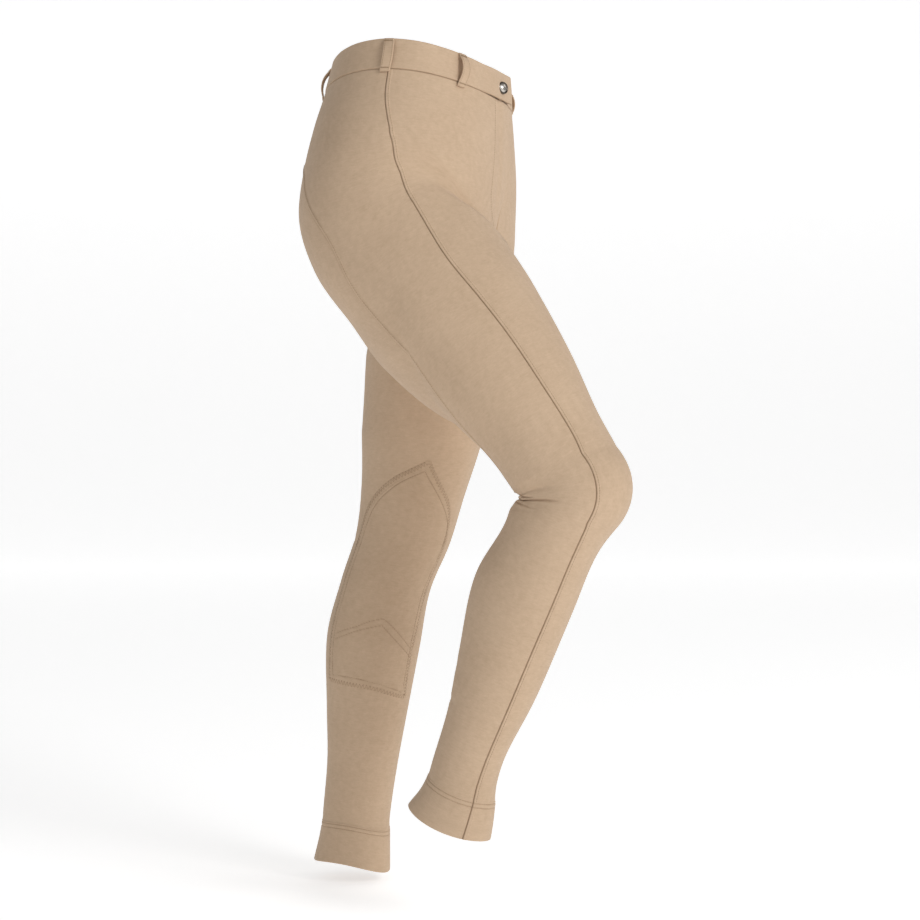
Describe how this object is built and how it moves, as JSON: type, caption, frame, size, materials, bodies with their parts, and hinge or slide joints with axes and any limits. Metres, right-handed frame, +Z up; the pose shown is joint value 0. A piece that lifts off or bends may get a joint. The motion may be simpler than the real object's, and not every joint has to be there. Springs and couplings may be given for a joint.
{
  "type": "jodhpurs",
  "caption": "Stretch cotton riding jodhpurs with grip knee patches, belt loops and a stud at the waist, filled out in a walking pose with the right knee raised.",
  "frame": {"origin": "centre of the waist opening, at the mean level of the waistband's upper edge", "axes": "+Z up along the wearer's body, -Y to the wearer's front, +X to the wearer's left"},
  "size_m": [0.3676, 0.4255, 0.9682],
  "materials": {
    "cloth": "matte brushed knit",
    "patch_cloth": "matte brushed knit",
    "stud_metal": "dark gunmetal, polished"
  },
  "bodies": {
    "root": {"waistband": "cloth", "front_inner_right_hip": "cloth", "front_inner_right_seat": "cloth", "front_inner_right_thigh": "cloth", "front_inner_right_knee": "cloth", "front_inner_right_calf": "cloth", "front_inner_right_shin": "cloth", "back_outer_right_hip": "cloth", "back_outer_right_thigh": "cloth", "back_outer_right_knee": "cloth", "back_outer_right_shin": "cloth", "knee_patch_right": "patch_cloth", "front_inner_left_hip": "cloth", "front_inner_left_seat": "cloth", "front_inner_left_thigh": "cloth", "front_inner_left_knee": "cloth", "front_inner_left_calf": "cloth", "front_inner_left_shin": "cloth", "back_outer_left_hip": "cloth", "back_outer_left_thigh": "cloth", "back_outer_left_knee": "cloth", "back_outer_left_shin": "cloth", "knee_patch_left": "patch_cloth", "belt_loop_front_right": "cloth", "belt_loop_side_right": "cloth", "belt_loop_back_right": "cloth", "belt_loop_back_left": "cloth", "belt_loop_side_left": "cloth", "belt_loop_front_left": "cloth", "stud_button": "stud_metal"}
  },
  "joints": []
}
